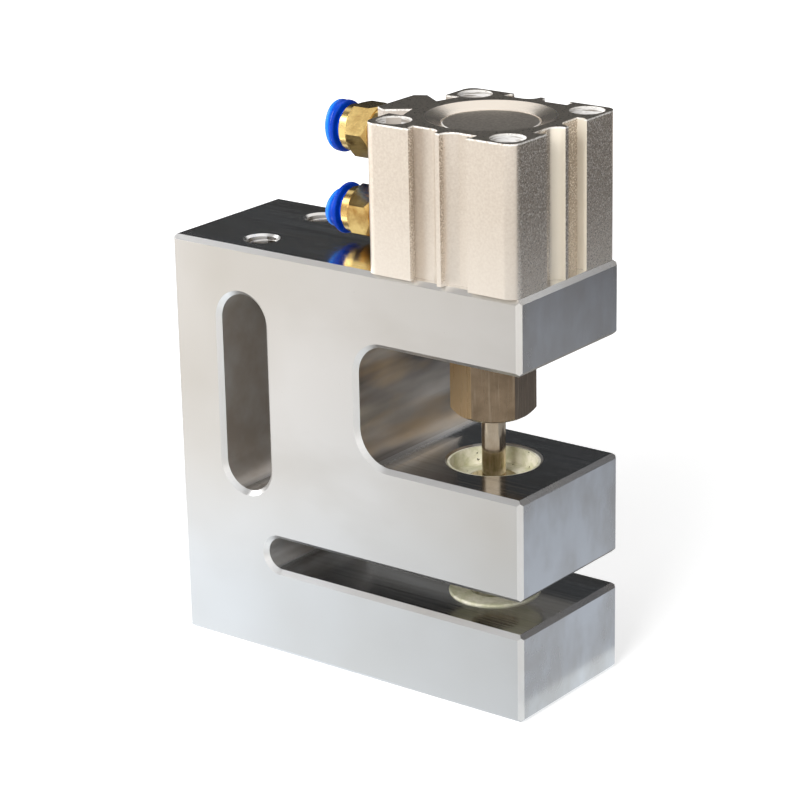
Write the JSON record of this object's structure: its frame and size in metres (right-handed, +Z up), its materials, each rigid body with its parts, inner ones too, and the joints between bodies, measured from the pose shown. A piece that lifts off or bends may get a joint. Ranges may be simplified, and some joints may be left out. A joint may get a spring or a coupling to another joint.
{
  "type": "pneumatic punching machine",
  "caption": "Compact air-driven hole punch: a steel C-shaped frame with a work slot, a square air cylinder on top, a hex coupler, a round punch and die, and push-in air fittings.",
  "frame": {"origin": "middle of the base, the point under the centre of the bounding box", "axes": "+X from the back of the column towards the open ends of the arms, +Y across the frame away from the viewer of the picture's front face, +Z up along the punch axis"},
  "size_m": [0.111, 0.045, 0.1499],
  "materials": {
    "ground_steel": "ground and polished, bright",
    "pale_tool_steel": "pale, turned and ground",
    "body_aluminium": "fine satin, lightly blasted",
    "head_disc": "dark anodised",
    "bronze": "sintered bronze",
    "seal_rubber": "smooth moulded",
    "white_plastic": "smooth",
    "dark_steel": "black oxide",
    "rod_chrome": "hard chrome, polished",
    "coupler_steel": "turned and milled",
    "punch_steel": "hardened and ground",
    "brass": "bright turned",
    "blue_plastic": "glossy moulded"
  },
  "bodies": {
    "frame": {"c_frame": "ground_steel", "guide_bush": "pale_tool_steel", "die_ring": "pale_tool_steel", "cylinder_tube": "body_aluminium", "head_plate": "head_disc", "rod_cover": "body_aluminium", "rod_bush": "bronze", "rod_seal": "seal_rubber", "rod_cover_o_ring": "seal_rubber", "rod_cover_snap_ring": "dark_steel", "cylinder_screws": "dark_steel", "upper_fitting_body": "brass", "upper_fitting_o_ring": "seal_rubber", "upper_tube_seal": "seal_rubber", "upper_collet": "dark_steel", "lower_fitting_body": "brass", "lower_fitting_o_ring": "seal_rubber", "lower_tube_seal": "seal_rubber", "lower_collet": "dark_steel"},
    "ram": {"piston": "body_aluminium", "piston_seal": "seal_rubber", "piston_wear_ring": "white_plastic", "piston_bumpers": "seal_rubber", "piston_rod": "rod_chrome", "coupler_stud": "dark_steel", "hex_coupler": "coupler_steel", "punch": "punch_steel", "punch_grub_screw": "dark_steel"},
    "upper_collar": {"upper_release_collar": "blue_plastic"},
    "lower_collar": {"lower_release_collar": "blue_plastic"}
  },
  "joints": [
    {"name": "ram_slide", "type": "slide", "parent": "frame", "child": "ram", "axis": [0, 0, -1], "range_m": [0, 0.015]},
    {"name": "upper_collar_slide", "type": "slide", "parent": "frame", "child": "upper_collar", "axis": [1, 0, 0], "range_m": [0, 0.0009], "stiffness_N_per_m": 2000},
    {"name": "lower_collar_slide", "type": "slide", "parent": "frame", "child": "lower_collar", "axis": [1, 0, 0], "range_m": [0, 0.0009], "stiffness_N_per_m": 2000}
  ]
}
